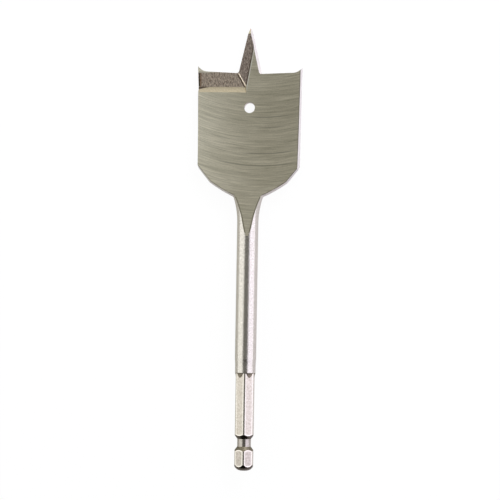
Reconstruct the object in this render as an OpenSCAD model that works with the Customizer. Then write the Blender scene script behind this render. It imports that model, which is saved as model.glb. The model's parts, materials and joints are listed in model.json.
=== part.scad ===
// Spade drill bit: one forged bar of tool steel with a flattened, ground blade
// and a hexagonal shank with a ball groove.
//
// The bit is drawn on its own axis: z = 0 at the end of the shank, +Z towards
// the point, X across the blade, and -Y towards the face that lies uppermost.
// Every ground cut is made on the wing at -X and repeated by a half turn about
// the axis, because both wings cut in the same direction of rotation.
// Last, the bit is laid down on the plane Z = 0 with its point towards +Y.

/* [Overall] */
// Length from the shank end to the tip of the point
overall_length = 152.4; // [140:0.1:180]
// Diameter of the round shaft
shaft_d = 7.3; // [6.9:0.05:8.4]

/* [Blade] */
// Width over the two spurs
blade_width = 36; // [32:0.5:42]
// Thickness between the flat faces near the cutting edges
blade_thickness = 3; // [2.4:0.1:4]
// Distance from the tip down to the corners where the shoulders begin
corner_drop = 48.4; // [44:0.1:51]
// Narrowing of each side from the spurs to the shoulders, in degrees
side_taper = 0.85; // [0:0.05:2]
// Relief of each side behind its leading edge, in degrees
side_relief = 10.5; // [4:0.5:14]
// Slope of the straight cuts across those corners, in degrees from square to the axis
corner_angle = 51.3; // [46:0.1:56]
// Width where the corner cuts end and the rounded shoulders begin
shoulder_width = 26.8; // [22:0.1:30]
// Radius of the rounded shoulders
shoulder_radius = 48; // [40:1:80]
// Forging draft of the shoulder edges, in degrees
shoulder_draft = 12; // [4:0.5:16]
// Diameter of the hole through the blade
hole_d = 3.7; // [2.5:0.1:5]
// Distance from the tip down to the hole
hole_drop = 27.6; // [26:0.1:34]

/* [Cutting edges] */
// Distance from the tip down to the inner ends of the cutting edges
edge_drop = 15.7; // [13:0.1:17]
// Rise of the cutting edges towards the spurs, in degrees
edge_rise = 2.6; // [0:0.1:6]
// Relief of the cutting edges behind the leading face, in degrees
edge_relief = 3.5; // [2:0.5:10]
// Height of the spurs above the cutting edges
spur_height = 1.6; // [0.5:0.05:2]
// Radius of the hollow between a cutting edge and its spur
spur_radius = 4; // [2:0.1:5]

/* [Point] */
// Half of the angle of the point
point_half_angle = 12.8; // [11:0.2:15]
// Relief of the point's flanks behind their leading edges, in degrees
point_relief = 15; // [10:0.5:20]
// Length of the chisel edge that is left at the very tip
tip_land = 1; // [0.6:0.1:1.6]
// Slope of the two small facets at the tip, in degrees from the axis
tip_facet_angle = 25; // [15:1:40]
// Radius of the fillets between the point's flanks and the cutting edges
root_fillet = 0.9; // [0.4:0.1:1.5]

/* [Rake grinding] */
// Depth of the ground floors below the blade face at the cutting edges
rake_depth = 0.03; // [0.02:0.01:0.3]
// Hook angle of the floors behind the wing edges
wing_hook = 8; // [4:0.5:10]
// Hook angle of the floors behind the point edges
point_hook = 9.5; // [5:0.5:12]
// Length of the flat floor below a wing's cutting edge
floor_run = 4.7; // [3.5:0.1:6]
// Radius of the hollow where a floor runs out into the face
runout_radius = 2.3; // [1.4:0.1:3]
// Distance from the tip to where the step of the point floor crosses the axis
step_drop = 13.3; // [11:0.1:15]
// Slant of that step to the axis, in degrees
step_slant = 9.8; // [6:0.2:13]
// Lean of that step away from square to the face, in degrees
step_lean = 27; // [10:1:40]

/* [Neck] */
// Width of the neck where the shoulders meet it
neck_width = 10.2; // [9:0.1:11.5]
// Distance from the tip down to the neck
neck_drop = 58.4; // [55:0.1:62]
// Length of the flare from the neck down to the round shaft
flare_length = 8.9; // [7:0.1:12]
// Radius of the fillet between a shoulder and the neck
neck_fillet = 0.8; // [0.5:0.1:1.5]
// Distance from the tip down to where the blade faces begin to hollow outwards
hollow_drop = 28.4; // [26:0.1:34]
// Distance from the tip down to where those faces run out on the shaft
hollow_end_drop = 72; // [70:0.1:80]

/* [Hex shank] */
// Width across the flats
hex_flats = 6.35; // [6.3:0.01:6.35]
// Radius of the rounded corners of the hexagon
hex_corner_radius = 1.2; // [0.4:0.05:2]
// Length of the hexagonal shank
hex_length = 33.5; // [25:0.1:45]
// Diameter of the slightly reduced collar between the shaft and the hexagon
collar_d = 7.04; // [7.02:0.01:7.2]
// Length of that collar
collar_length = 2.8; // [1:0.1:6]
// Length of the taper from the collar to the full shaft
collar_taper = 2; // [1:0.1:4]
// Height of the steep rim between the collar and the hexagon
rim_height = 0.5; // [0.2:0.05:0.8]
// Diameter of the foot of that rim
rim_foot_d = 6.72; // [6.5:0.02:6.9]
// Slope of the half-moon ramps from the rim down to the flats, in degrees
ramp_angle = 9; // [5:1:20]
// Distance from the shank end to the middle of the ball groove
groove_height = 9.55; // [8:0.05:12]
// Width of the round bottom of the groove
groove_width = 2.6; // [2:0.05:3.5]
// Diameter of the bottom of the groove
groove_d = 4.7; // [4:0.02:5.2]
// Slope of the groove's side towards the blade, in degrees from the axis
groove_lead_slope = 37; // [20:0.5:60]
// Slope of the groove's side towards the shank end, in degrees from the axis
groove_end_slope = 37; // [20:0.5:60]
// Diameter of the flat on the shank end
end_flat_d = 1.7; // [1.6:0.1:3]
// Radius of the rounding between that flat and the hexagon
end_radius = 2.7; // [2.6:0.1:3.5]

/* [Hidden] */
steel = [0.61, 0.60, 0.53];
$fn = 96;

// Room that a cutter has beyond the metal, and the size of a cutter with one or two working faces
beyond = 4;
cutter = overall_length;

half_width = blade_width / 2;
half_thickness = blade_thickness / 2;
shaft_r = shaft_d / 2;
edge_z = overall_length - edge_drop;
corner_z = overall_length - corner_drop;
neck_z = overall_length - neck_drop;

// Where the point's leading edges, which stand off the triangle by half of their relief, meet the wings
flank_offset = half_thickness * tan(point_relief);
point_root = edge_drop * tan(point_half_angle) + flank_offset;
// Turning a relieved flank shortens its angle in the middle plane, and this turn makes up for it
flank_turn = atan(tan(point_half_angle) * cos(point_relief));

// Root of the point: the flank and the cutting edge, as the directions in which each looks into the
// open space, and the line in which they meet
flank_way = [
    -cos(flank_turn) * cos(point_relief),
    cos(flank_turn) * sin(point_relief),
    sin(flank_turn)
];
edge_way = [sin(edge_rise), cos(edge_rise) * sin(edge_relief), cos(edge_rise) * cos(edge_relief)];
root_way = towards([0, 0, 0], cross(flank_way, edge_way));

// Spur: the cutting edge runs into an arc that is tangent to it and ends at the side of the blade
spur_run = sqrt(2 * spur_radius * spur_height - spur_height * spur_height);
spur_start = half_width - spur_run * cos(edge_rise);
spur_start_z = edge_z + (spur_start - point_root) * tan(edge_rise);
spur_centre = [spur_start - spur_radius * sin(edge_rise), spur_start_z + spur_radius * cos(edge_rise)];
spur_z = spur_centre[1] - sqrt(pow(spur_radius, 2) - pow(half_width - spur_centre[0], 2));

// Shoulder: a circle through the inner end of the corner cut and the corner of the neck
corner_half = half_width - (spur_z - corner_z) * tan(side_taper);
shoulder_half = shoulder_width / 2;
neck_half = neck_width / 2;
shoulder_start = [shoulder_half, corner_z - (corner_half - shoulder_half) * tan(corner_angle)];
neck_corner = [neck_half, neck_z];
shoulder_chord = shoulder_start - neck_corner;
shoulder_offset = sqrt(pow(shoulder_radius, 2) - pow(norm(shoulder_chord) / 2, 2));
shoulder_inward = [-shoulder_chord[1], shoulder_chord[0]] / norm(shoulder_chord);
shoulder_centre = (shoulder_start + neck_corner) / 2 + shoulder_offset * shoulder_inward;

// Flare: an arc that leaves the shaft along its surface and reaches the neck's width
flare_rise = neck_half - shaft_r;
flare_radius = (pow(flare_length, 2) + pow(flare_rise, 2)) / (2 * flare_rise);
flare_z = neck_z - flare_length;
flare_centre = [shaft_r + flare_radius, flare_z];

// Neck fillet: a circle that touches the shoulder and the flare from outside
fillet_centre = meeting(
    shoulder_centre, shoulder_radius + neck_fillet,
    flare_centre, flare_radius - neck_fillet
);
fillet_ends = [
    shoulder_centre + shoulder_radius * towards(shoulder_centre, fillet_centre),
    flare_centre + flare_radius * towards(flare_centre, fillet_centre)
];

// Hollow faces: arcs that leave the flat faces along them and run out on the shaft
hollow_z = overall_length - hollow_drop;
hollow_end_z = overall_length - hollow_end_drop;
hollow_rise = shaft_r - half_thickness;
hollow_radius = (pow(hollow_z - hollow_end_z, 2) + pow(hollow_rise, 2)) / (2 * hollow_rise);

// Wing floor: its lower end and the centre of its run-out, as [distance below the edge, depth]
floor_end = [floor_run, rake_depth + floor_run * tan(wing_hook)];
runout_centre = floor_end + runout_radius * [sin(wing_hook), -cos(wing_hook)];
// The point floor ends level with the wing floor, where its step is this far from the axis
floor_z = edge_z - floor_run;
step_foot = (overall_length - floor_z - step_drop) * tan(step_slant);

// Where the full shaft begins above its collar
shaft_z = hex_length + collar_length + collar_taper;

// At rest the heavy blade tips down: the bit touches the plane with the shaft, where the hollow face
// runs out, and with the leading edge of its point, where the facet at the tip ends
rest_edge = half_thickness - rake_depth;
rest_edge_z = overall_length - (rest_edge - tip_land / 2) / tan(tip_facet_angle);
rest_tilt = atan((shaft_r - rest_edge) / (rest_edge_z - hollow_end_z));
rest_lift = shaft_r * cos(rest_tilt) + hollow_end_z * sin(rest_tilt);
rest_front = overall_length * cos(rest_tilt) + tip_land / 2 * sin(rest_tilt);
rest_rear = end_flat_d / 2 * sin(rest_tilt) + end_radius * (1 - cos(rest_tilt));
rest_middle = (rest_front - rest_rear) / 2;

// Unit vector from one point to another
function towards(from, to) = (to - from) / norm(to - from);

// The lower of the two points where two circles meet
function meeting(c1, r1, c2, r2) =
    let (
        gap = norm(c2 - c1),
        along = (r1 * r1 - r2 * r2 + gap * gap) / (2 * gap),
        aside = sqrt(r1 * r1 - along * along),
        way = towards(c1, c2)
    )
    c1 + along * way + aside * [way[1], -way[0]];

// Repeats what is drawn by a half turn about the axis
module both_wings() {
    for (turn = [0, 180])
        rotate([0, 0, turn])
            children();
}

// Turns a drawing in X and Z, extruded upwards from zero, into a slab that runs along +Y
module along_y(length) {
    translate([0, length, 0])
        rotate([90, 0, 0])
            linear_extrude(length)
                children();
}

// Everything beyond the tapered and relieved side of the wing at -X
module side_grind() {
    translate([-half_width, -half_thickness, spur_z])
        rotate([0, -side_taper, -side_relief])
            translate([-cutter, -cutter / 2, -cutter / 2])
                cube(cutter);
}

// Section of a forged edge: its rim draws in, or out, by the draft on both sides of the middle plane
module drafted_section(size, draft) {
    reach = shaft_r + beyond;
    face = size - reach * tan(draft);
    polygon([[0, -reach], [face, -reach], [size, 0], [face, reach], [0, reach]]);
}

// Disc square to the faces with a drafted rim
module drafted_disc(centre, radius, draft) {
    translate([centre[0], 0, centre[1]])
        rotate([90, 0, 0])
            rotate_extrude()
                drafted_section(radius, draft);
}

// Everything inside the straight drafted cut across the corner at +X
module inside_corner_cut() {
    translate([corner_half, 0, corner_z])
        rotate([0, 90 - corner_angle, 0])
            translate([-cutter, 0, -cutter])
                linear_extrude(2 * cutter)
                    drafted_section(cutter, shoulder_draft);
}

// The fillet between shoulder and neck at +X
module neck_web() {
    depth = 2 * (shaft_r + beyond);
    difference() {
        translate([0, -depth / 2, 0])
            along_y(depth)
                polygon([fillet_ends[0], fillet_ends[1], [neck_half / 2, neck_z]]);
        drafted_disc(fillet_centre, neck_fillet, -shoulder_draft);
    }
}

// The forged plate of the blade, with the point still square
module blade_plate() {
    depth = 2 * (shaft_r + beyond);
    intersection() {
        translate([-half_width - beyond, -depth / 2, neck_z - beyond])
            cube([blade_width + 2 * beyond, depth, neck_drop + 2 * beyond]);
        drafted_disc(shoulder_centre, shoulder_radius, shoulder_draft);
        rotate([0, 0, 180])
            drafted_disc(shoulder_centre, shoulder_radius, shoulder_draft);
        inside_corner_cut();
        rotate([0, 0, 180])
            inside_corner_cut();
    }
}

// Round shaft with its flare towards the blade, and its collar and rim towards the hexagon
module shaft() {
    ramp_length = (rim_foot_d - hex_flats) / tan(ramp_angle);
    ramp_z = hex_length - rim_height - ramp_length;
    ramp_r = rim_foot_d / 2 - ramp_length * tan(ramp_angle);
    rotate_extrude() {
        polygon([
            [0, ramp_z],
            [ramp_r, ramp_z],
            [rim_foot_d / 2, hex_length - rim_height],
            [collar_d / 2, hex_length],
            [collar_d / 2, hex_length + collar_length],
            [shaft_r, shaft_z],
            [shaft_r, flare_z],
            [0, flare_z]
        ]);
        difference() {
            translate([0, flare_z])
                square([neck_half + beyond, flare_length + beyond]);
            translate(flare_centre)
                circle(flare_radius);
        }
    }
}

// The space between the two ground faces: flat near the edges, hollow towards the neck, open at the shaft
module between_faces() {
    reach = shaft_r + beyond;
    rotate([90, 0, 90])
        translate([0, 0, -half_width - beyond])
            linear_extrude(blade_width + 2 * beyond)
                difference() {
                    translate([-reach, -beyond])
                        square([2 * reach, overall_length + 2 * beyond]);
                    for (side = [-1, 1]) {
                        translate([side * (half_thickness + hollow_radius), hollow_z])
                            circle(hollow_radius, $fn = 720);
                        translate([side > 0 ? half_thickness : -half_thickness - hollow_radius, hollow_z])
                            square([hollow_radius, hollow_drop + 2 * beyond]);
                    }
                }
}

// The space above the cutting edge and spur of the wing at -X, relieved behind the leading face
module above_edge() {
    top = edge_drop + 2 * beyond;
    translate([0, -half_thickness, edge_z])
        rotate([-edge_relief, 0, 0])
            translate([0, -beyond, -edge_z])
                along_y(blade_thickness + 2 * beyond)
                    mirror([1, 0]) {
                        polygon([
                            [-beyond, edge_z - (point_root + beyond) * tan(edge_rise)],
                            [spur_start, spur_start_z],
                            spur_centre,
                            [spur_centre[0], edge_z + top],
                            [-beyond, edge_z + top]
                        ]);
                        translate(spur_centre)
                            circle(spur_radius);
                        translate(spur_centre)
                            square([half_width, top]);
                    }
}

// The space outside the relieved flank of the point at -X
module outside_flank() {
    translate([0, 0, overall_length])
        rotate([0, flank_turn, -point_relief])
            translate([-cutter, -cutter / 2, -cutter / 2])
                cube(cutter);
}

// The fillet between the flank of the point and the cutting edge at -X: what a circle that touches both
// leaves of the corner between them, carried along the line in which they meet
module root_web() {
    across = cross(root_way, edge_way);
    flank_aim = [flank_way * edge_way, flank_way * across];
    edge_aim = [1, 0];
    centre = root_fillet * (flank_aim + edge_aim) / (1 + flank_aim * edge_aim);
    root = [-point_root, -half_thickness, edge_z];
    length = blade_thickness + 2 * beyond;
    multmatrix([for (i = [0:2]) [edge_way[i], across[i], root_way[i], root[i]]])
        translate([0, 0, -length])
            linear_extrude(2 * length)
                difference() {
                    polygon([centre - root_fillet * flank_aim, centre - root_fillet * edge_aim, -centre]);
                    translate(centre)
                        circle(root_fillet);
                }
}

// The space in front of the small facet at the tip
module tip_facet() {
    translate([0, -tip_land / 2, overall_length])
        rotate([-tip_facet_angle, 0, 0])
            translate([-cutter / 2, -cutter, -edge_drop / 2])
                cube([cutter, cutter, cutter]);
}

// The ground floor behind the cutting edge of the wing at -X, with its round run-out
module wing_floor() {
    start = [-edge_drop, rake_depth - edge_drop * tan(wing_hook)];
    top = -beyond;
    translate([-half_width - beyond, -half_thickness, edge_z])
        rotate([0, 90, 0])
            linear_extrude(half_width + beyond - step_foot) {
                polygon([start, floor_end, runout_centre, [runout_centre[0], top], [start[0], top]]);
                translate(runout_centre)
                    circle(runout_radius);
            }
}

// The ground floor behind the leading edge of the point, up to its slanting step
module point_floor() {
    intersection() {
        translate([-flank_offset, rake_depth - half_thickness, overall_length])
            rotate([0, point_half_angle, 0])
                rotate([0, 0, point_hook])
                    translate([-cutter / 2, -cutter, -cutter / 2])
                        cube(cutter);
        translate([0, -half_thickness, overall_length - step_drop])
            rotate([0, step_slant, 0])
                rotate([0, 0, step_lean])
                    translate([-cutter, -cutter / 2, -cutter / 2])
                        cube(cutter);
        translate([-half_width, -half_thickness - beyond, floor_z])
            cube([blade_width, half_thickness + beyond, cutter]);
    }
}

// Blade and shaft, ground all over
module ground_blade() {
    difference() {
        intersection() {
            between_faces();
            union() {
                blade_plate();
                shaft();
                both_wings()
                    neck_web();
            }
        }
        both_wings() {
            side_grind();
            difference() {
                intersection() {
                    above_edge();
                    outside_flank();
                }
                root_web();
            }
            tip_facet();
            wing_floor();
            point_floor();
        }
        translate([0, 0, overall_length - hole_drop])
            rotate([90, 0, 0])
                cylinder(h = blade_width, d = hole_d, center = true);
    }
}

// Section of the hexagonal bar, with its rounded corners towards the faces
module hex_section() {
    corner = (hex_flats / 2 - hex_corner_radius) / cos(30);
    ways = [for (side = [0:5]) [cos(60 * side + 30), sin(60 * side + 30)]];
    flats = [for (side = [0:5]) [cos(60 * side), sin(60 * side)]];
    polygon([
        for (side = [0:5])
            each [
                corner * ways[side] + hex_corner_radius * flats[side],
                corner * ways[side] + hex_corner_radius * flats[(side + 1) % 6]
            ]
    ]);
    for (way = ways)
        translate(corner * way)
            circle(hex_corner_radius);
}

// Turned outline of the shank: its rounded end and its ball groove
module shank_outline() {
    turned_r = end_flat_d / 2 + end_radius;
    groove_r = groove_d / 2;
    groove_low = groove_height - groove_width / 2;
    groove_high = groove_height + groove_width / 2;
    polygon([
        [0, end_radius],
        [turned_r, end_radius],
        [turned_r, groove_low - (turned_r - groove_r) / tan(groove_end_slope)],
        [groove_r, groove_low],
        [groove_r, groove_high],
        [turned_r, groove_high + (turned_r - groove_r) / tan(groove_lead_slope)],
        [turned_r, hex_length],
        [0, hex_length]
    ]);
    square([end_flat_d / 2, end_radius]);
    intersection() {
        square([turned_r, end_radius]);
        translate([end_flat_d / 2, end_radius])
            circle(end_radius);
    }
}

// Hexagonal shank, turned to shape at its end and at the ball groove
module hex_shank() {
    intersection() {
        linear_extrude(hex_length)
            hex_section();
        rotate_extrude()
            shank_outline();
    }
}

module spade_bit() {
    color(steel)
        translate([0, -rest_middle, rest_lift])
            rotate([-90 - rest_tilt, 0, 0])
                union() {
                    ground_blade();
                    hex_shank();
                }
}

spade_bit();
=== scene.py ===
"""Looks of a spade drill bit: a ground tool steel blade on a blasted round shaft with a hexagonal shank.

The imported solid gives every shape. Its triangles are copied once, welded, sorted by the way the steel was
worked there, and given exact normals, so that each ground, turned or blasted surface reflects as the real one
does. Lengths are in millimetres in the bit's own axes: across, front and along, from the end of the shank to
the tip.
"""
import json
import math

import bpy
import numpy as np
from mathutils import Matrix, Vector


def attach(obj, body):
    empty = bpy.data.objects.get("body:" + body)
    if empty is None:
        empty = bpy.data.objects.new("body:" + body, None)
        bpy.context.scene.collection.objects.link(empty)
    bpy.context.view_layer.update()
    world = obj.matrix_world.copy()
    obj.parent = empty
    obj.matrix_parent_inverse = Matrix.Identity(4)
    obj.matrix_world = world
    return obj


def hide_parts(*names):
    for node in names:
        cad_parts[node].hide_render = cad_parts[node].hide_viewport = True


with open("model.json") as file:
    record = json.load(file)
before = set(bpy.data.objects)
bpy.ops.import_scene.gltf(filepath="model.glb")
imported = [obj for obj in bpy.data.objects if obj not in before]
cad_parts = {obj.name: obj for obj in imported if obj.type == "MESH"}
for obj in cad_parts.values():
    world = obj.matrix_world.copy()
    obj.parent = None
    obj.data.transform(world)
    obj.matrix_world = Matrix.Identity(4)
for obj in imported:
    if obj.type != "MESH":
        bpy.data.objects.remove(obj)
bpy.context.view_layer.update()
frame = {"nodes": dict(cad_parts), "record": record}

MM = 0.001

# The bit's length, and its hexagonal shank with the rounded end and the ball groove
LENGTH = 152.4
HEX_END = 33.5
HEX_HALF = 3.175
HEX_CORNER_RADIUS = 1.2
END_RADIUS = 2.7
END_FLAT_RADIUS = 0.85
GROOVE = 9.55
GROOVE_HALF = 1.3
GROOVE_RADIUS = 2.35
GROOVE_SLOPE = math.radians(37)

# The round shaft, and its flare up to the neck
SHAFT_RADIUS = 3.65
FLARE_START = 85.1
FLARE_RADIUS = 28.04
NECK = 94.0

# The blade with its hole; its faces are ground hollow from where the hollow starts down to the shaft
HALF_THICKNESS = 1.5
HOLLOW_START = 124.0
HOLLOW_RADIUS = 443.2
HOLE_ALONG = 124.8
HOLE_RADIUS = 1.85

# The cutting end: the edge, the rake's floor and run-out, and the point's step and root
EDGE = 136.7
FLOOR_END = 132.0
FLOOR_DEPTH_AT_EDGE = 0.03
HOOK = math.radians(8)
RUNOUT_RADIUS = 2.3
POCKET_END = 17.45
STEP_ON_AXIS = 139.1
STEP_SLANT = math.radians(9.8)
POINT_ROOT = 3.97

# The grinding wheel's arcs over the blade faces: their radius, and how far their middles lie to the right
ARC_RADIUS = 58.0
ARC_MIDDLE = 3.5
# Marks along the arcs, from fine scratches to wide bands, and a grain: length, width, detail and share in the
# shade; the finest are drawn 0.3 mm wide so that they show
ARC_MARKS = ((8.0, 0.3, 4.0, 1.0), (24.0, 0.7, 3.0, 0.9), (55.0, 4.5, 2.0, 0.35), (0.5, 0.4, 2.0, 0.35))
# Single deep arcs: where each crosses the arcs' middle along the bit, and its two ends across
DEEP_ARCS = ((104.7, -12.0, 17.0), (108.9, -4.0, 17.0), (117.9, 2.0, 14.0), (121.5, -2.0, 16.0))
DEEP_ARC_WIDTH = 0.42
DEEP_ARC_FADE = 5.0
# Painted shade along the faces' edges, across and along: the trailing side, the run-out on the shaft,
# and the shoulder
TRAILING_EDGE = ((17.38, 138.5), (16.86, 104.5))
FACE_RUNOUT = ((4.3, 94.0), (3.25, 91.5), (2.0, 87.6), (0.7, 81.3))
SHOULDER_EDGE = ((17.5, 104.7), (13.07, 99.25), (8.56, 96.35), (4.58, 94.35))
EDGE_SHADE_WIDTH = 0.5
# A painted highlight along the step's upper edge, drawn beside the step's own line
STEP_HIGHLIGHT_ASIDE = 0.25
STEP_HIGHLIGHT_WIDTH = 0.45

# Marks on the rake, drawn as coarse as they need to show: their slant, and their width and length
RAKE_SLANT = math.radians(28)
RAKE_MARK = (0.4, 0.9)
# A painted highlight along the ridge where both floors meet, and a painted shadow beside it
RIDGE_HIGHLIGHT_WIDTH = 0.36
RIDGE_SHADOW_WIDTH = 0.5
RIDGE_SHADOW_ASIDE = (-0.4, -0.25)

# Depth of the scratches on faces and rake, and reach of the painted highlight along the rims of the
# hexagon's flats
SCRATCH_DEPTH = 0.02
RIM_HIGHLIGHT_REACH = 0.5

# Tints from the heat of grinding, and painted light: start and end across and along the bit, width, fade
# and tint. On the rake, the pocket's outer end has a black line of painted shadow with a brown line beside
# it, and the edge next to the spur is painted light: partly the face's own tone, partly a painted highlight.
# On the run-out, the rake's dark tint reaches down at its outer end. The very tip is burnt brown
RAKE_TINTS_AND_PAINTED_LIGHT = (
    # A black line of painted shadow at the pocket's outer end, and a brown line beside it
    ((-POCKET_END, FLOOR_END), (-POCKET_END, EDGE + 1), 0.6, 0.1, "#4a3d33"),
    ((-POCKET_END + 0.45, FLOOR_END), (-POCKET_END + 0.45, EDGE + 1), 0.3, 0.1, "#98724c"),
    # The edge next to the spur: partly the face's own tone, partly a painted highlight
    ((-POCKET_END - 2, EDGE + 0.3), (-POCKET_END + 5, EDGE + 0.2), 0.9, 3.0, "#dedac8"),
)
RUNOUT_STAINS = (
    ((-POCKET_END - 1, FLOOR_END - 0.75), (-POCKET_END + 4, FLOOR_END + 0.5), 1.0, 0.5, "#6b5f53"),
)
TIP_STAINS = (((-1.0, LENGTH - 0.3), (1.0, LENGTH - 0.3), 1.0, 0.1, "#9a6b3c"),)

# The photograph: its size in pixels, millimetres for each pixel, and how the bit lies in it
PHOTO_PIXELS = 500
MM_PER_PIXEL = 0.34485
BIT_LEAN = math.radians(0.83)
BIT_LEFT = 2.5
BIT_UP = 1.3
BIT_MIDDLE_HEIGHT = 3.0
CAMERA_LENS = 150.0
CAMERA_SENSOR = 36.0
CAMERA_FROM_RIGHT = math.radians(3.5)
CAMERA_FROM_SHANK = math.radians(0.5)

# Sockets of a node that mixes two colours: the colours, and the mixture
MIX_FROM, MIX_TO, MIXED = 6, 7, 2

# Noise that all grains and marks are drawn with
NOISE_ROUGHNESS = 0.7
GRAIN_DETAIL = 5.0


def linear(hex_colour):
    """sRGB hex to linear RGBA: each channel c becomes c/12.92 below 0.04045, else ((c+0.055)/1.055)^2.4."""
    channels = [int(hex_colour[i:i + 2], 16) / 255 for i in (1, 3, 5)]
    bent = [c / 12.92 if c <= 0.04045 else ((c + 0.055) / 1.055) ** 2.4 for c in channels]
    return (*bent, 1.0)


def add(tree, kind, sockets=None, **settings):
    """Adds one node: settings are its own options, and sockets are values or links for its inputs."""
    node = tree.nodes.new(kind)
    for name, setting in settings.items():
        setattr(node, name, setting)
    for key, feed in (sockets or {}).items():
        if isinstance(feed, bpy.types.NodeSocket):
            tree.links.new(feed, node.inputs[key])
        else:
            node.inputs[key].default_value = feed
    return node


def new_material(name):
    """An empty node material with its output, and the tree to fill."""
    material = bpy.data.materials.new(name)
    material.use_nodes = True
    tree = material.node_tree
    tree.nodes.clear()
    out = add(tree, "ShaderNodeOutputMaterial")
    return material, tree, out


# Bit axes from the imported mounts
mounts = {mount["name"]: mount for mount in frame["record"]["mounts"]}
shank_end = np.array(mounts["shank_end"]["pos_m"])
along_axis = -np.array(mounts["shank_end"]["axis"])
front_axis = np.array(mounts["blade_hole"]["axis"])
along_axis /= np.linalg.norm(along_axis)
front_axis /= np.linalg.norm(front_axis)
bit_axes = np.stack([np.cross(along_axis, front_axis), front_axis, along_axis])


def welded_triangles(mesh, weld=1e-6):
    """Corner points and triangles of a mesh of loose triangles, with points closer than weld made one."""
    points = np.empty(3 * len(mesh.vertices))
    mesh.vertices.foreach_get("co", points)
    points = points.reshape(-1, 3)
    mesh.calc_loop_triangles()
    corners = np.empty(3 * len(mesh.loop_triangles), np.int32)
    mesh.loop_triangles.foreach_get("vertices", corners)
    keys = np.round(points / weld).astype(np.int64)
    _, first, place = np.unique(keys, axis=0, return_index=True, return_inverse=True)
    triangles = place.reshape(-1)[corners].reshape(-1, 3)
    whole = (np.diff(np.sort(triangles, axis=1), axis=1) > 0).all(axis=1)
    return points[first], triangles[whole]


def unit(vectors, shortest=1e-12):
    """Vectors divided by their lengths, or by the shortest length that counts."""
    return vectors / np.maximum(np.linalg.norm(vectors, axis=-1, keepdims=True), shortest)


points, triangles = welded_triangles(frame["nodes"]["spade_bit"].data)
bit_points = (points - shank_end) @ bit_axes.T / MM
corner = bit_points[triangles]
first, second, third = np.moveaxis(points[triangles], 1, 0)
flat_normal = unit(np.cross(second - first, third - first)) @ bit_axes.T
middle = corner.mean(axis=1)

# Both faces are alike after a half turn about the axis, so the back is read as if it were the front
side = np.where(middle[:, 1] < 0, -1.0, 1.0)
half_turn = np.stack([side, side, np.ones_like(side)], axis=1)
across_n, front_n, along_n = (flat_normal * half_turn).T
front = middle[:, 1] * side
along = middle[:, 2]
from_axis = np.hypot(middle[:, 0], middle[:, 1])
outward_n = (unit(middle[:, :2]) * flat_normal[:, :2]).sum(axis=1)

# How far a surface may stray from its true place or direction and still be taken for it
NEAR = 0.01
NEARER = 0.001
SQUARE = 0.02

# Where surfaces of a kind lie
RUNOUT_MIDDLE = FLOOR_END - 1.0
RUNOUT_REACH = 1.05
STEP_START = FLOOR_END - 2.5
TIP_START = LENGTH - 3.0
ROUND_END = NECK + 0.5
ROUND_REACH = SHAFT_RADIUS + 2.0
SHOULDER_START = NECK - 1.0
SHOULDER_END = LENGTH - 40.0

# How squarely a surface of a kind looks to the front, to the side, ahead to the tip, back or outward: at
# least this much, or at most for the hole's wall and for how far the round shaft looks ahead
FACE_TO_FRONT = 0.985
FACE_AHEAD = 0.05
FLOOR_TO_FRONT = 0.95
POINT_FLOOR_TO_SIDE = 0.1
RUNOUT_TO_FRONT = 0.3
STEP_TO_FRONT = 0.3
STEP_TO_SIDE = 0.6
TIP_TO_FRONT = 0.7
TIP_AHEAD = 0.3
HOLE_TO_FRONT = 0.05
ROUND_OUTWARD = 0.9
ROUND_AHEAD = 0.2
SHOULDER_BACK = 0.75

# Each triangle's working: which surface of the bit it belongs to
is_shank = along < HEX_END - NEARER
is_straight = is_shank & (np.abs(along_n) < NEAR)
is_groove_neck = is_straight & (from_axis < GROOVE_RADIUS + NEAR)
# Faces turned back towards the shank's end, painted dark as shade
is_facing_shank_end = is_shank & (along_n < -SQUARE) & (along < HEX_END / 2)
is_bar = is_straight & ~is_groove_neck
is_root_cut = is_shank & ~is_bar & (along > HEX_END / 2)
is_hex_flat = is_bar & (np.abs((middle[:, :2] * flat_normal[:, :2]).sum(axis=1) - HEX_HALF) < NEAR)
is_hex_corner = is_bar & ~is_hex_flat
is_end_round = (along < END_RADIUS) & (along_n < -SQUARE) & (along_n > SQUARE - 1)

is_face = (front_n > FACE_TO_FRONT) & (np.abs(across_n) < SQUARE) & (front > HALF_THICKNESS - NEARER)
is_face &= along_n > np.where(along < NECK, FACE_AHEAD, -SQUARE)
is_floor = (along > FLOOR_END - NEAR) & (front_n > FLOOR_TO_FRONT)
is_wing_floor = is_floor & (np.abs(along_n + math.sin(HOOK)) < NEAR)
is_point_floor = is_floor & (across_n > POINT_FLOOR_TO_SIDE)
is_runout = (np.abs(along - RUNOUT_MIDDLE) < RUNOUT_REACH) & (np.abs(across_n) < SQUARE)
is_runout &= (front_n > RUNOUT_TO_FRONT) & ~is_face & ~is_wing_floor
is_tip = (along > TIP_START) & (along_n > TIP_AHEAD) & (front_n > TIP_TO_FRONT)
is_step = (along > STEP_START) & (across_n < -STEP_TO_SIDE) & (front_n > STEP_TO_FRONT)
is_hole = np.hypot(middle[:, 0], along - HOLE_ALONG) < HOLE_RADIUS + NEAR
is_hole &= np.abs(front_n) < HOLE_TO_FRONT
is_round = ~is_face & ~is_shank & (along < ROUND_END) & (from_axis < ROUND_REACH)
is_round &= (outward_n > ROUND_OUTWARD) & (along_n < ROUND_AHEAD)
is_shoulder = (along > SHOULDER_START) & (along < SHOULDER_END) & (along_n < -SHOULDER_BACK)

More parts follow.
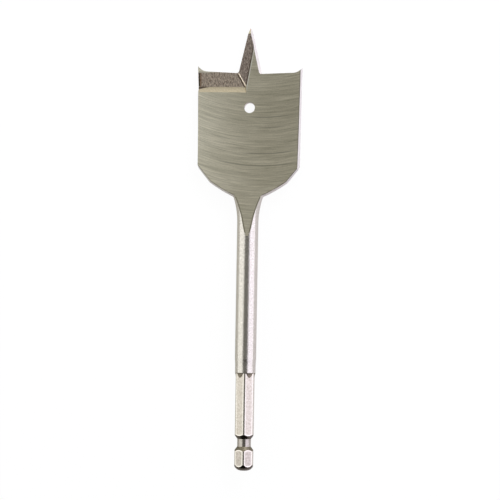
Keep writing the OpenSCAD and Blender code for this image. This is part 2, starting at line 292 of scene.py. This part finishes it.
# A later working takes the place of an earlier one
WORKINGS = (
    ("ground_edge", np.ones(len(triangles), bool)),
    ("shoulder", is_shoulder),
    ("turned", is_shank),
    ("root_cut", is_root_cut),
    ("bar", is_bar),
    ("bar_end", is_bar & (along < GROOVE)),
    ("bar_corner", is_hex_corner),
    ("shank_facing_shade", is_facing_shank_end),
    ("groove_neck", is_groove_neck),
    ("shaft", is_round),
    ("face", is_face),
    ("rake", is_wing_floor),
    ("point_rake", is_point_floor),
    ("runout", is_runout),
    ("step", is_step),
    ("tip", is_tip),
)
working = np.zeros(len(triangles), np.int32)
for index, (_, chosen) in enumerate(WORKINGS):
    working[chosen] = index

# Exact normals at every corner of every triangle. The slopes of the flare and of the hollow are worked out
# for the whole bit, and the steepest keeps them in bounds where they aren't used
STEEPEST = 0.9
ALONG_ONLY = np.array([0.0, 0.0, 1.0])
NOT_ALONG = 1.0 - ALONG_ONLY
normals = np.repeat(flat_normal[:, None, :], 3, axis=1)
corner_along = corner[:, :, 2]
outward = unit(corner * NOT_ALONG)
no_turn = np.zeros_like(corner_along)


def revolved(slope):
    """Normals of a surface of revolution about the bit's axis, from the along part of the normal."""
    return outward * np.sqrt(1 - slope ** 2)[..., None] + slope[..., None] * ALONG_ONLY


own_slope = np.repeat(flat_normal[:, 2:], 3, axis=1)
is_turned = is_shank & ~is_bar & (np.abs(along_n) < 1 - SQUARE)
is_turned |= is_round & (along <= FLARE_START)
normals[is_turned] = revolved(own_slope)[is_turned]

is_flare = is_round & (along > FLARE_START)
flare_slope = -np.clip((corner_along - FLARE_START) / FLARE_RADIUS, 0, STEEPEST)
normals[is_flare] = revolved(flare_slope)[is_flare]

end_slope = np.clip((corner_along - END_RADIUS) / END_RADIUS, -1, 0)
normals[is_end_round] = revolved(end_slope)[is_end_round]

# The bar's rounded corners turn about six lines, one for each corner of the hexagon
CORNER_STEP = math.radians(60)
corner_turn = np.arctan2(middle[:, 1], middle[:, 0])
nearest_turn = (np.floor(corner_turn / CORNER_STEP) + 0.5) * CORNER_STEP
corner_reach = (HEX_HALF - HEX_CORNER_RADIUS) / math.cos(CORNER_STEP / 2)
corner_line = corner_reach * np.stack(
    [np.cos(nearest_turn), np.sin(nearest_turn), np.zeros_like(nearest_turn)], axis=-1
)
rounding = unit((corner - corner_line[:, None, :]) * NOT_ALONG)
normals[is_hex_corner] = rounding[is_hex_corner]

hollow_slope = np.clip((HOLLOW_START - corner_along) / HOLLOW_RADIUS, 0, STEEPEST)
hollow = np.stack([no_turn, side[:, None] * np.sqrt(1 - hollow_slope ** 2), hollow_slope], axis=-1)
normals[is_face] = hollow[is_face]

hole_wall = unit(np.stack([-corner[:, :, 0], no_turn, HOLE_ALONG - corner_along], axis=-1))
normals[is_hole] = hole_wall[is_hole]

floor_depth = FLOOR_DEPTH_AT_EDGE + (EDGE - FLOOR_END) * math.tan(HOOK)
runout_along = FLOOR_END - RUNOUT_RADIUS * math.sin(HOOK)
runout_front = HALF_THICKNESS - floor_depth + RUNOUT_RADIUS * math.cos(HOOK)
scoop = unit(np.stack(
    [no_turn, side[:, None] * runout_front - corner[:, :, 1], runout_along - corner_along], axis=-1
))
normals[is_runout] = scoop[is_runout]

# The map that finishes are drawn on, in metres: along the bit, and across it, the same on both faces, or
# across the flat on each flat of the hexagon
flat_across = corner[:, :, 1] * flat_normal[:, :1] - corner[:, :, 0] * flat_normal[:, 1:2]
map_across = np.where(is_hex_flat[:, None], flat_across, corner[:, :, 0] * side[:, None])
bit_plane = np.stack([map_across, corner_along], axis=-1) * MM


def flat_place(tree):
    """Place of the shaded point on the bit's map, in metres: as a vector, and its across and along."""
    place = add(tree, "ShaderNodeUVMap", uv_map="bit_plane").outputs[0]
    axes = add(tree, "ShaderNodeSeparateXYZ", {0: place}).outputs
    return place, axes["X"], axes["Y"]


def line_band(tree, place, start, end, width, fade=0.1):
    """How near a point is to a line on the bit's map: 1 on it, 0 half a width beside it or past its ends.

    The line runs from start to end in millimetres and dies away over the fade before each end. The place is
    taken from the line's middle, and its dot products with the unit vectors across and along the line tell
    how far it lies beside the line and towards its ends.
    """
    way = Vector(end) - Vector(start)
    ahead = way.normalized().to_3d()
    aside = Vector((ahead[1], -ahead[0], 0.0))
    half_way = way.length / 2
    line_middle = (Vector(start) + Vector(end)).to_3d() * MM / 2
    from_middle = add(
        tree, "ShaderNodeVectorMath", {0: place, 1: line_middle}, operation="SUBTRACT"
    ).outputs[0]
    shares = []
    for axis, near, far in ((aside, width / 4, width / 2), (ahead, half_way - fade, half_way)):
        part = add(tree, "ShaderNodeVectorMath", {0: from_middle, 1: axis}, operation="DOT_PRODUCT")
        size = add(tree, "ShaderNodeMath", {0: part.outputs["Value"]}, operation="ABSOLUTE").outputs[0]
        shares.append(add(
            tree,
            "ShaderNodeMapRange",
            {"Value": size, "From Min": near * MM, "From Max": far * MM, "To Min": 1.0, "To Max": 0.0},
        ).outputs[0])
    return add(tree, "ShaderNodeMath", {0: shares[0], 1: shares[1]}, operation="MULTIPLY").outputs[0]


def on_step(along, aside=0.0):
    """A place on the line of the point's step, moved to the right by aside."""
    return ((along - STEP_ON_AXIS) * math.tan(STEP_SLANT) + aside, along)


def banded(tree, place, colour, tint_bands):
    """A colour with bands laid over it, heat tints or painted light, each with its start, end, width, fade
    and tint.
    """
    for start, end, width, fade, tint in tint_bands:
        band = line_band(tree, place, start, end, width, fade)
        colour = add(
            tree, "ShaderNodeMix", {0: band, MIX_FROM: colour, MIX_TO: linear(tint)}, data_type="RGBA"
        ).outputs[MIXED]
    return colour


# Tool steel, ground across the blade by the rim of a large wheel: the scratches are arcs of one radius, set
# one above the other, and the eye sees long curved streaks, lighter where they face the lamps
def arc_ground_steel():
    material, tree, out = new_material("arc_ground_tool_steel")
    place, across, along = flat_place(tree)
    aside = add(tree, "ShaderNodeMath", {0: across, 1: ARC_MIDDLE * MM}, operation="SUBTRACT").outputs[0]
    aside_squared = add(tree, "ShaderNodeMath", {0: aside, 1: aside}, operation="MULTIPLY").outputs[0]
    rest = add(
        tree, "ShaderNodeMath", {0: (ARC_RADIUS * MM) ** 2, 1: aside_squared}, operation="SUBTRACT"
    ).outputs[0]
    rise = add(tree, "ShaderNodeMath", {0: rest}, operation="SQRT").outputs[0]
    arc = add(tree, "ShaderNodeMath", {0: along, 1: rise}, operation="ADD").outputs[0]
    streak = add(tree, "ShaderNodeCombineXYZ", {0: across, 1: arc}).outputs[0]
    marks = []
    mixed = 0.0
    for length, width, detail, share in ARC_MARKS:
        stretched = add(
            tree, "ShaderNodeVectorMath", {0: streak, 1: (1 / (length * MM), 1 / (width * MM), 0)},
            operation="MULTIPLY",
        ).outputs[0]
        mark = add(
            tree,
            "ShaderNodeTexNoise",
            {"Vector": stretched, "Scale": 1.0, "Detail": detail, "Roughness": NOISE_ROUGHNESS},
        ).outputs[0]
        mixed = add(
            tree, "ShaderNodeMath", {0: mark, 1: share, 2: mixed}, operation="MULTIPLY_ADD"
        ).outputs[0]
        marks.append(mark)
    fine, medium = marks[:2]
    shade = add(
        tree, "ShaderNodeMapRange", {"Value": mixed, "From Min": 0.95, "From Max": 1.65}
    ).outputs[0]
    colour = add(
        tree,
        "ShaderNodeMix",
        {0: shade, MIX_FROM: linear("#aba790"), MIX_TO: linear("#f3eedb")},
        data_type="RGBA",
    ).outputs[MIXED]
    for along_middle, first_end, last_end in DEEP_ARCS:
        # On an arc, along and rise add up to the arc's place in the middle and its radius
        from_arc = add(
            tree, "ShaderNodeMath", {0: arc, 1: (along_middle + ARC_RADIUS) * MM}, operation="SUBTRACT"
        ).outputs[0]
        arc_place = add(tree, "ShaderNodeCombineXYZ", {0: across, 1: from_arc}).outputs[0]
        deep = line_band(
            tree, arc_place, (first_end, 0.0), (last_end, 0.0), DEEP_ARC_WIDTH, DEEP_ARC_FADE
        )
        deep = add(tree, "ShaderNodeMath", {0: deep, 1: medium}, operation="MULTIPLY").outputs[0]
        colour = add(
            tree, "ShaderNodeMix", {0: deep, MIX_FROM: colour, MIX_TO: linear("#767262")}, data_type="RGBA"
        ).outputs[MIXED]
    # A painted highlight lies along the step's upper edge, and painted shade darkens the trailing side's
    # edge, the edges along the shoulders and where the face runs out on the shaft
    step_highlight = line_band(
        tree,
        place,
        on_step(RUNOUT_MIDDLE, STEP_HIGHLIGHT_ASIDE),
        on_step(LENGTH, STEP_HIGHLIGHT_ASIDE),
        STEP_HIGHLIGHT_WIDTH,
    )
    colour = add(
        tree, "ShaderNodeMix", {0: step_highlight, MIX_FROM: colour, MIX_TO: linear("#f0eee4")}, data_type="RGBA"
    ).outputs[MIXED]
    shaded_edges = [TRAILING_EDGE]
    for right_line in (FACE_RUNOUT, SHOULDER_EDGE):
        left_line = [(-edge_across, edge_along) for edge_across, edge_along in right_line]
        shaded_edges += [*zip(right_line, right_line[1:]), *zip(left_line, left_line[1:])]
    # Each of these edges gets a dark line of painted shade
    for start, end in shaded_edges:
        edge_shade = line_band(tree, place, start, end, EDGE_SHADE_WIDTH)
        colour = add(
            tree,
            "ShaderNodeMix",
            {0: edge_shade, MIX_FROM: colour, MIX_TO: linear("#989480")},
            data_type="RGBA",
        ).outputs[MIXED]
    roughness = add(
        tree, "ShaderNodeMapRange", {"Value": fine, "To Min": 0.38, "To Max": 0.48}
    ).outputs[0]
    bump = add(
        tree, "ShaderNodeBump", {"Strength": 0.25, "Distance": SCRATCH_DEPTH * MM, "Height": fine}
    ).outputs[0]
    # The scratches spread light square to themselves, towards the middle of their arcs
    normal = add(tree, "ShaderNodeNewGeometry").outputs["Normal"]
    upward = add(tree, "ShaderNodeSeparateXYZ", {0: normal}).outputs["Z"]
    face_sign = add(tree, "ShaderNodeMath", {0: upward}, operation="SIGN").outputs[0]
    to_middle = add(tree, "ShaderNodeMath", {0: aside, 1: face_sign}, operation="MULTIPLY").outputs[0]
    to_middle = add(tree, "ShaderNodeMath", {0: to_middle, 1: -1.0}, operation="MULTIPLY").outputs[0]
    spread = add(tree, "ShaderNodeCombineXYZ", {0: to_middle, 1: rise}).outputs[0]
    spread = add(tree, "ShaderNodeVectorMath", {0: spread}, operation="NORMALIZE").outputs[0]
    surface = add(
        tree,
        "ShaderNodeBsdfPrincipled",
        {
            "Base Color": colour,
            "Metallic": 1.0,
            "Roughness": roughness,
            "Anisotropic": 0.95,
            "Tangent": spread,
            "Normal": bump,
        },
    )
    tree.links.new(surface.outputs[0], out.inputs[0])
    return material


# The same steel where the rake was ground hard and dry: short slanting marks, a brown heat tint, a painted
# shadow beside the ridge where both floors meet, and a painted highlight along that ridge
def rake_ground_steel(name, dark, light):
    material, tree, out = new_material(name)
    place = flat_place(tree)[0]
    mark_width, mark_length = RAKE_MARK
    slanting = add(
        tree,
        "ShaderNodeMapping",
        {
            "Vector": place,
            "Rotation": (0.0, 0.0, RAKE_SLANT),
            "Scale": (1 / (mark_width * MM), 1 / (mark_length * MM), 1.0),
        },
    ).outputs[0]
    grit = add(
        tree,
        "ShaderNodeTexNoise",
        {
            "Vector": slanting,
            "Scale": 1.0,
            "Detail": GRAIN_DETAIL,
            "Roughness": NOISE_ROUGHNESS,
            "Distortion": 0.5,
        },
    ).outputs[0]
    shade = add(
        tree, "ShaderNodeMapRange", {"Value": grit, "From Min": 0.41, "From Max": 0.59}
    ).outputs[0]
    colour = add(
        tree,
        "ShaderNodeMix",
        {0: shade, MIX_FROM: linear(dark), MIX_TO: linear(light)},
        data_type="RGBA",
    ).outputs[MIXED]
    foot = Vector(on_step(FLOOR_END))
    root = Vector((-POINT_ROOT, EDGE))
    shadow_side = Vector(RIDGE_SHADOW_ASIDE)
    shadow = line_band(tree, place, foot + shadow_side, root + shadow_side, RIDGE_SHADOW_WIDTH)
    colour = add(
        tree, "ShaderNodeMix", {0: shadow, MIX_FROM: colour, MIX_TO: linear("#6f6150")}, data_type="RGBA"
    ).outputs[MIXED]
    colour = banded(tree, place, colour, RAKE_TINTS_AND_PAINTED_LIGHT)
    # A painted highlight along the ridge, where the floor is also rougher
    ridge_highlight = line_band(tree, place, foot, root, RIDGE_HIGHLIGHT_WIDTH)
    colour = add(
        tree, "ShaderNodeMix", {0: ridge_highlight, MIX_FROM: colour, MIX_TO: linear("#fff8e8")}, data_type="RGBA"
    ).outputs[MIXED]
    roughness = add(
        tree, "ShaderNodeMapRange", {"Value": ridge_highlight, "To Min": 0.45, "To Max": 0.9}
    ).outputs[0]
    bump = add(
        tree, "ShaderNodeBump", {"Strength": 0.3, "Distance": SCRATCH_DEPTH * MM, "Height": grit}
    ).outputs[0]
    surface = add(
        tree,
        "ShaderNodeBsdfPrincipled",
        {"Base Color": colour, "Metallic": 1.0, "Roughness": roughness, "Normal": bump},
    )
    tree.links.new(surface.outputs[0], out.inputs[0])
    return material


# Share of a painted highlight along the rims of the bar's flats
def rim_highlight_share(tree):
    """How near a point on one of the bar's flats is to the edge that the groove or the rounded end cuts.

    Its distance from the axis is the length of a vector with half the bar's width and the place across the
    flat. The groove's cone has that radius at (radius - floor radius) / tan(slope) beside the floor, and the
    rounded end has it at end radius - sqrt(end radius^2 - (radius - end flat radius)^2) from the end.
    """
    across, along = flat_place(tree)[1:]
    outwards = add(tree, "ShaderNodeCombineXYZ", {0: across, 1: HEX_HALF * MM}).outputs[0]
    radius = add(tree, "ShaderNodeVectorMath", {0: outwards}, operation="LENGTH").outputs["Value"]
    rise = 1 / math.tan(GROOVE_SLOPE)
    groove_edge = add(
        tree, "ShaderNodeMath", {0: radius, 1: rise, 2: (GROOVE_HALF - GROOVE_RADIUS * rise) * MM},
        operation="MULTIPLY_ADD",
    ).outputs[0]
    from_groove = add(tree, "ShaderNodeMath", {0: along, 1: GROOVE * MM}, operation="SUBTRACT").outputs[0]
    from_groove = add(tree, "ShaderNodeMath", {0: from_groove}, operation="ABSOLUTE").outputs[0]
    past_groove = add(
        tree, "ShaderNodeMath", {0: from_groove, 1: groove_edge}, operation="SUBTRACT"
    ).outputs[0]
    outside = add(
        tree, "ShaderNodeMath", {0: radius, 1: END_FLAT_RADIUS * MM}, operation="SUBTRACT"
    ).outputs[0]
    squared = add(tree, "ShaderNodeMath", {0: outside, 1: outside}, operation="MULTIPLY").outputs[0]
    rest = add(
        tree, "ShaderNodeMath", {0: (END_RADIUS * MM) ** 2, 1: squared}, operation="SUBTRACT"
    ).outputs[0]
    height = add(tree, "ShaderNodeMath", {0: rest}, operation="SQRT").outputs[0]
    from_end = add(tree, "ShaderNodeMath", {0: along, 1: END_RADIUS * MM}, operation="SUBTRACT").outputs[0]
    past_end = add(tree, "ShaderNodeMath", {0: from_end, 1: height}, operation="ADD").outputs[0]
    past_edge = add(tree, "ShaderNodeMath", {0: past_groove, 1: past_end}, operation="MINIMUM").outputs[0]
    return add(
        tree,
        "ShaderNodeMapRange",
        {
            "Value": past_edge,
            "From Min": RIM_HIGHLIGHT_REACH / 2 * MM,
            "From Max": RIM_HIGHLIGHT_REACH * MM,
            "To Min": 1.0,
            "To Max": 0.0,
        },
    ).outputs[0]


# Steel with an even grain: the grain's size in millimetres, drawn as coarse as it needs to show, its two
# shades, the roughness, the grain's depth in millimetres, the colour of the painted highlight along the rims
# of the flats, the heat tints, and how much of the finish is metal
def grained_steel(name, grain, dark, light, rough, depth, rims=None, tint_bands=(), metal_share=1.0):
    material, tree, out = new_material(name)
    place = add(tree, "ShaderNodeTexCoord").outputs["Object"]
    noise = add(
        tree,
        "ShaderNodeTexNoise",
        {
            "Vector": place,
            "Scale": 1 / (grain * MM),
            "Detail": GRAIN_DETAIL,
            "Roughness": NOISE_ROUGHNESS,
        },
    ).outputs[0]
    shade = add(
        tree, "ShaderNodeMapRange", {"Value": noise, "From Min": 0.3, "From Max": 0.7}
    ).outputs[0]
    colour = add(
        tree,
        "ShaderNodeMix",
        {0: shade, MIX_FROM: linear(dark), MIX_TO: linear(light)},
        data_type="RGBA",
    ).outputs[MIXED]
    if tint_bands:
        colour = banded(tree, flat_place(tree)[0], colour, tint_bands)
    if rims:
        colour = add(
            tree,
            "ShaderNodeMix",
            {0: rim_highlight_share(tree), MIX_FROM: colour, MIX_TO: linear(rims)},
            data_type="RGBA",
        ).outputs[MIXED]
    bump = add(
        tree, "ShaderNodeBump", {"Strength": 1.0, "Distance": depth * MM, "Height": noise}
    ).outputs[0]
    surface = add(
        tree,
        "ShaderNodeBsdfPrincipled",
        {"Base Color": colour, "Metallic": metal_share, "Roughness": rough, "Normal": bump},
    )
    tree.links.new(surface.outputs[0], out.inputs[0])
    return material


materials = {
    # Relieved edges and sides, freshly ground to size: bright, with hardly any grain
    "ground_edge": grained_steel(
        "bright_ground_edge_steel", grain=0.5, dark="#e4e0de", light="#f5f3f1", rough=0.8, depth=0.003
    ),
    # Shoulders above the neck, as the forging die pressed them: a pale, partly non-metallic finish, a painted
    # reflection of the paper in the steel
    "shoulder": grained_steel(
        "pale_shoulder_steel_painted_reflection", grain=0.5, dark="#c8c2bd", light="#e2ddd9", rough=0.7, depth=0.006,
        metal_share=0.4,
    ),
    # The groove's side towards the shank end, turned before hardening: darker and smoother
    "turned": grained_steel(
        "turned_groove_side_steel", grain=0.6, dark="#6d6656", light="#867f6d", rough=0.45, depth=0.004
    ),
    # The cuts where the turning tool ran out on the flats below the shaft
    "root_cut": grained_steel(
        "turned_root_steel", grain=0.6, dark="#7b7364", light="#989080", rough=0.45, depth=0.004
    ),
    # The groove's floor, turned to a shine
    "groove_neck": grained_steel(
        "turned_groove_floor_steel", grain=0.6, dark="#aaa49c", light="#cac5bd", rough=0.2, depth=0.004
    ),
    # The groove's other side and the shank's rounded end, which face the shank's end: painted nearly black
    # as shade
    "shank_facing_shade": grained_steel(
        "shank_facing_steel_painted_shade", grain=0.6, dark="#5a534c", light="#6e6760", rough=0.22, depth=0.004
    ),
    # Drawn hexagonal bar, blasted with fine grit after hardening: satin, as fine as the grit, with a painted
    # highlight along the rims
    "bar": grained_steel(
        "blasted_hex_bar_steel", grain=0.7, dark="#b5aea1", light="#e2dcd2", rough=0.25, depth=0.008,
        rims="#f5f0e6",
    ),
    # The bar's rounded corners, painted brighter than the flats as a painted highlight, and its end, coloured
    # a little darker than the rest of the bar
    "bar_corner": grained_steel(
        "hex_corner_steel_painted_highlight", grain=0.7, dark="#e2ddd2", light="#f5f1e8", rough=0.2, depth=0.004
    ),
    "bar_end": grained_steel(
        "darker_hex_end_steel", grain=0.7, dark="#a59e93", light="#d3cdc4", rough=0.25, depth=0.008,
        rims="#f5f0e6",
    ),
    # The round shaft, blasted as the bar is
    "shaft": grained_steel(
        "blasted_shaft_steel", grain=0.4, dark="#c0bcb3", light="#f1eee7", rough=0.22, depth=0.03
    ),
    "face": arc_ground_steel(),
    "rake": rake_ground_steel("dry_ground_wing_steel", dark="#98887a", light="#e6d9c6"),
    # The point's floor, coloured darker than the wings
    "point_rake": rake_ground_steel("dry_ground_point_steel", dark="#61574d", light="#9f9486"),
    # The hollow where the rake wheel ran out: straw tinted by the heat of grinding, with a matt grain
    "runout": grained_steel(
        "straw_tinted_runout_steel", grain=0.6, dark="#b6ae97", light="#cdc5ae", rough=0.85, depth=0.005,
        tint_bands=RUNOUT_STAINS,
    ),
    # The wall of the point's step, painted dark as shade in the step's corner
    "step": grained_steel(
        "step_wall_steel_painted_shade", grain=0.5, dark="#4b4036", light="#6a5d50", rough=0.5, depth=0.004
    ),
    # The facets at the tip, ground by hand
    "tip": grained_steel(
        "hand_ground_tip_steel", grain=0.4, dark="#918b72", light="#aea88f", rough=0.4, depth=0.004,
        tint_bands=TIP_STAINS,
    ),
}

# The visual piece: the welded solid with a finish for every working and exact normals
mesh = bpy.data.meshes.new("ground_spade_bit")
mesh.from_pydata(points.tolist(), [], triangles.tolist())
for name, _ in WORKINGS:
    mesh.materials.append(materials[name])
mesh.polygons.foreach_set("material_index", working)
plane_map = mesh.uv_layers.new(name="bit_plane")
plane_map.uv.foreach_set("vector", bit_plane.reshape(-1))
mesh.shade_smooth()
mesh.normals_split_custom_set((normals @ bit_axes).reshape(-1, 3).tolist())
mesh.update()
ground_bit = bpy.data.objects.new("ground_spade_bit", mesh)
bpy.context.scene.collection.objects.link(ground_bit)
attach(ground_bit, "root")
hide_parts("spade_bit")

# Pale floor: white to the eye and darker where the bit shades it; in the steel it is grey, lighter and cooler
# to the right, where the stronger lamp stands
FLOOR_HALF = 3.0
WHITE = (1.0, 1.0, 1.0, 1.0)
WHITE_TO_EYE = 0.95
GREY_SHARE = 0.7
LEFT_GREY = (0.42, 0.40, 0.33, 1.0)
RIGHT_GREY = (0.66, 0.61, 0.64, 1.0)
GREYS_MEET = 0.01
floor_mesh = bpy.data.meshes.new("paper_floor")
floor_mesh.from_pydata(
    [(x, y, 0.0) for x, y in ((-1, -1), (1, -1), (1, 1), (-1, 1))], [], [(0, 1, 2, 3)]
)
floor_mesh.transform(Matrix.Scale(FLOOR_HALF, 4))
floor = bpy.data.objects.new("paper_floor", floor_mesh)
bpy.context.scene.collection.objects.link(floor)
paper, tree, out = new_material("white_paper")
path = add(tree, "ShaderNodeLightPath").outputs
seen = add(
    tree, "ShaderNodeMath", {0: path["Is Glossy Ray"], 1: GREY_SHARE, 2: path["Is Transmission Ray"]},
    operation="MULTIPLY_ADD",
).outputs[0]
shown = add(
    tree, "ShaderNodeMath", {0: path["Is Camera Ray"], 1: WHITE_TO_EYE, 2: seen}, operation="MULTIPLY_ADD"
).outputs[0]
lit = add(tree, "ShaderNodeBsdfDiffuse", {"Color": linear("#f7f7f6")}).outputs[0]
on_floor = add(tree, "ShaderNodeTexCoord").outputs["Object"]
from_bit = add(tree, "ShaderNodeSeparateXYZ", {0: on_floor}).outputs["X"]
to_right = add(
    tree, "ShaderNodeMapRange", {"Value": from_bit, "From Min": -GREYS_MEET, "From Max": GREYS_MEET}
).outputs[0]
grey = add(
    tree, "ShaderNodeMix", {0: to_right, MIX_FROM: LEFT_GREY, MIX_TO: RIGHT_GREY}, data_type="RGBA"
).outputs[MIXED]
glow = add(
    tree, "ShaderNodeMix", {0: path["Is Glossy Ray"], MIX_FROM: WHITE, MIX_TO: grey}, data_type="RGBA"
).outputs[MIXED]
white = add(tree, "ShaderNodeEmission", {"Color": glow, "Strength": 1.0}).outputs[0]
sheet = add(tree, "ShaderNodeMixShader", {0: shown, 1: lit, 2: white}).outputs[0]
tree.links.new(sheet, out.inputs[0])
floor_mesh.materials.append(paper)

# Studio: white to the eye and along the horizon in the steel, dim above, as under a dark ceiling, and darker
# still at the shank's end; the paper gets an even light from all round. A fade runs between two values of a
# unit direction's part towards the tip, or of its upward part for the horizon
DARK_END = (0.03, 0.028, 0.025, 1.0)
LIGHT_END = (0.42, 0.41, 0.38, 1.0)
EVEN_LIGHT = (0.45, 0.45, 0.45, 1.0)
CEILING_FADE = (-0.35, 0.65)
HORIZON_FADE = (0.02, 0.12)
HORIZON_END_FADE = (-0.8, -0.4)
world = bpy.data.worlds.new("studio")
world.use_nodes = True
bpy.context.scene.world = world
tree = world.node_tree
tree.nodes.clear()
sky_out = add(tree, "ShaderNodeOutputWorld")
path = add(tree, "ShaderNodeLightPath").outputs
direction = add(tree, "ShaderNodeTexCoord").outputs["Generated"]
heading = add(tree, "ShaderNodeSeparateXYZ", {0: direction}).outputs
towards_tip = add(
    tree,
    "ShaderNodeMapRange",
    {"Value": heading["Y"], "From Min": CEILING_FADE[0], "From Max": CEILING_FADE[1]},
).outputs[0]
ceiling = add(
    tree, "ShaderNodeMix", {0: towards_tip, MIX_FROM: DARK_END, MIX_TO: LIGHT_END}, data_type="RGBA"
).outputs[MIXED]
horizon = add(
    tree,
    "ShaderNodeMapRange",
    {
        "Value": heading["Z"],
        "From Min": HORIZON_FADE[0],
        "From Max": HORIZON_FADE[1],
        "To Min": 1.0,
        "To Max": 0.0,
    },
).outputs[0]
beside = add(
    tree,
    "ShaderNodeMapRange",
    {"Value": heading["Y"], "From Min": HORIZON_END_FADE[0], "From Max": HORIZON_END_FADE[1]},
).outputs[0]
horizon = add(tree, "ShaderNodeMath", {0: horizon, 1: beside}, operation="MULTIPLY").outputs[0]
white_share = add(
    tree, "ShaderNodeMath", {0: horizon, 1: path["Is Glossy Ray"], 2: path["Is Camera Ray"]},
    operation="MULTIPLY_ADD", use_clamp=True,
).outputs[0]
sky = add(
    tree, "ShaderNodeMix", {0: white_share, MIX_FROM: ceiling, MIX_TO: WHITE}, data_type="RGBA"
).outputs[MIXED]
sky = add(
    tree, "ShaderNodeMix", {0: path["Is Diffuse Ray"], MIX_FROM: sky, MIX_TO: EVEN_LIGHT}, data_type="RGBA"
).outputs[MIXED]
back = add(tree, "ShaderNodeBackground", {"Color": sky, "Strength": 1.0}).outputs[0]
tree.links.new(back, sky_out.inputs[0])


def soft_box(name, where, across, along, radiance, colour):
    """A rectangular lamp that faces the bit; its power is radiance times pi times its area."""
    lamp = bpy.data.lights.new(name, "AREA")
    lamp.shape = "RECTANGLE"
    lamp.size = across
    lamp.size_y = along
    lamp.energy = radiance * math.pi * across * along
    lamp.color = linear(colour)[:3]
    piece = bpy.data.objects.new(name, lamp)
    back_axis = Vector(where).normalized()
    right = Vector((0.0, 1.0, 0.0)).cross(back_axis).normalized()
    up = back_axis.cross(right)
    turn = Matrix((right, up, back_axis)).transposed().to_4x4()
    piece.matrix_world = Matrix.Translation(Vector(where)) @ turn
    bpy.context.scene.collection.objects.link(piece)


# Lamps on both sides and beyond the tip, with places and sizes in metres; the one at the corner is strongest
soft_box(
    "left_soft_box", where=(-0.50, 0.12, 0.32), across=0.72, along=1.1, radiance=1.0, colour="#fffefc"
)
soft_box(
    "right_soft_box", where=(0.50, 0.12, 0.32), across=0.72, along=1.1, radiance=1.34, colour="#f4efff"
)
soft_box(
    "tip_soft_box", where=(0.0, 0.60, 0.45), across=0.80, along=0.5, radiance=1.0, colour="#fffdf8"
)
soft_box(
    "corner_soft_box", where=(0.29, 0.58, 0.45), across=0.38, along=0.5, radiance=4.6, colour="#f0f4ff"
)

# Camera straight above, a little to the right, turned so that the bit leans as in the photograph
camera_data = bpy.data.cameras.new("camera")
camera_data.lens = CAMERA_LENS
camera_data.sensor_width = CAMERA_SENSOR
camera = bpy.data.objects.new("camera", camera_data)
image_right = Vector((math.cos(BIT_LEAN), math.sin(BIT_LEAN), 0.0))
towards_camera = Vector(
    (math.sin(CAMERA_FROM_RIGHT), -math.sin(CAMERA_FROM_SHANK), 1.0)
).normalized()
level_right = (image_right - towards_camera * image_right.dot(towards_camera)).normalized()
image_up = towards_camera.cross(level_right)
bit_middle = Vector((0.0, 0.0, BIT_MIDDLE_HEIGHT * MM))
target = bit_middle + (level_right * BIT_LEFT - image_up * BIT_UP) * MM_PER_PIXEL * MM
distance = PHOTO_PIXELS * MM_PER_PIXEL * MM / CAMERA_SENSOR * CAMERA_LENS
turn = Matrix((level_right, image_up, towards_camera)).transposed().to_4x4()
camera.matrix_world = Matrix.Translation(target + towards_camera * distance) @ turn
bpy.context.scene.collection.objects.link(camera)
bpy.context.scene.camera = camera

bpy.context.scene.view_settings.view_transform = "Standard"
